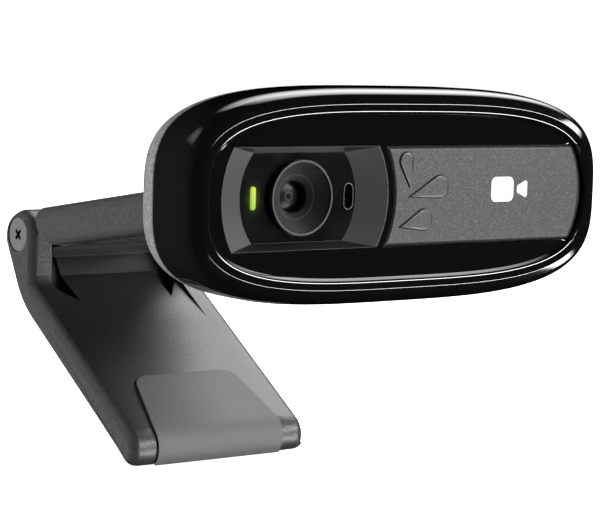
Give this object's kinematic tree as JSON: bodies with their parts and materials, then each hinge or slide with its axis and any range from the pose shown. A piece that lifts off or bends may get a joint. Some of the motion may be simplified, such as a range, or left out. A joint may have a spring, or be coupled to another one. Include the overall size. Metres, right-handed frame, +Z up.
{
  "type": "clip-on webcam",
  "caption": "Oval webcam head with offset lens bowl and panel on a swivel-and-tilt neck, carried by the arm of a folding screen clip with a rubber-footed leg.",
  "frame": {"origin": "middle of the grip pad's face under the arm, where the clip rests on a screen's top edge", "axes": "-Y is where the lens looks, +Z is up, +X is to the right seen from the front"},
  "size_m": [0.0738, 0.082, 0.0591],
  "materials": {
    "gloss_black": "high gloss",
    "grey_shell": "fine matte",
    "flake_panel": "metallic flake satin",
    "sign_white": "printed white",
    "satin_black": "satin",
    "hood_black": "fine grain",
    "dark_plastic": "matte",
    "lens_glass": "coated",
    "filter_glass": "coated",
    "sensor": "gloss",
    "board_green": "solder mask",
    "ivory_plastic": "matte",
    "led_green": "lit",
    "steel": "zinc plated",
    "rubber_black": "matte",
    "black_steel": "black oxide",
    "clip_plastic": "textured",
    "brass_washer": "satin",
    "rubber_grey": "smooth matte"
  },
  "bodies": {
    "arm": {"arm": "clip_plastic", "grip_pad": "rubber_black"},
    "leg": {"leg": "clip_plastic", "foot_pad": "rubber_grey", "hinge_pin": "steel", "hinge_screws": "black_steel", "friction_washers": "brass_washer"},
    "neck": {"neck": "clip_plastic", "swivel_screw": "steel", "swivel_washer": "brass_washer"},
    "head": {"front_bezel": "gloss_black", "rear_shell": "grey_shell", "face_panel": "flake_panel", "panel_sign": "sign_white", "lens_bowl": "satin_black", "lens_hood": "hood_black", "lens_barrel": "dark_plastic", "front_lens": "lens_glass", "rear_lens": "lens_glass", "infrared_filter": "filter_glass", "lens_holder": "dark_plastic", "image_sensor": "sensor", "circuit_board": "board_green", "control_chip": "dark_plastic", "cable_connector": "ivory_plastic", "status_led": "led_green", "light_pipe": "led_green", "microphone": "steel", "microphone_gasket": "rubber_black", "board_screws": "steel", "case_screws": "black_steel", "cable_grommet": "rubber_black", "tilt_pin": "steel"}
  },
  "joints": [
    {"name": "leg_fold", "type": "hinge", "parent": "arm", "child": "leg", "pos_m": [0, 0.02413, -0.00112], "axis": [1, 0, 0], "range_deg": [-40, 60]},
    {"name": "neck_swivel", "type": "hinge", "parent": "arm", "child": "neck", "pos_m": [0, -0.01887, 0.00584], "axis": [0, 0.1599, 0.9871], "range_deg": [-30, 30]},
    {"name": "head_tilt", "type": "hinge", "parent": "neck", "child": "head", "pos_m": [0, -0.02987, 0.01068], "axis": [1, 0, 0], "range_deg": [-20, 20]}
  ]
}
